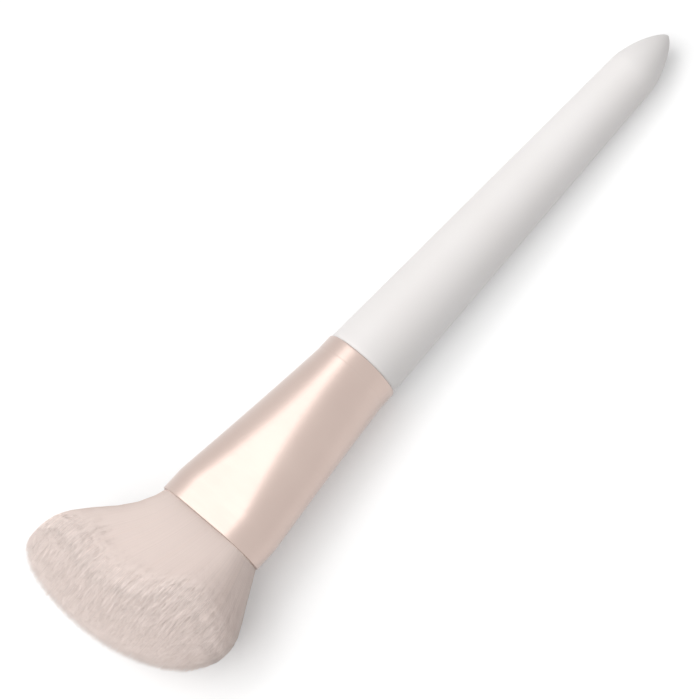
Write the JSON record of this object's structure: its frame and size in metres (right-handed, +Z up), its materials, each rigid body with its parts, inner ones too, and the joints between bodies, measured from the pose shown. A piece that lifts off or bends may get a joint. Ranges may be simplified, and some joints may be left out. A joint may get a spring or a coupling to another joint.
{
  "type": "blush brush",
  "caption": "Blush brush with a slanted fluffy fan tuft, a pale rose-gold pressed ferrule and a white tapered handle with a pointed end.",
  "frame": {"origin": "on the surface that the brush lies on, under the middle of the whole brush's box", "axes": "+X along the brush from the pointed end to the tuft, +Y across it to the short side of the slanted tuft, +Z up from the surface"},
  "size_m": [0.1598, 0.042, 0.0227],
  "materials": {
    "handle_lacquer": "satin white lacquer over turned wood",
    "ferrule_metal": "satin pale rose-gold anodising",
    "hair": "soft matte pale pink hair",
    "resin": "cured resin",
    "thread": "waxed thread",
    "glue": "cured glue film"
  },
  "bodies": {
    "root": {"handle": "handle_lacquer", "ferrule": "ferrule_metal", "bristle_tuft": "hair", "epoxy_plug": "resin", "root_binding": "thread", "tenon_adhesive": "glue"}
  },
  "joints": []
}
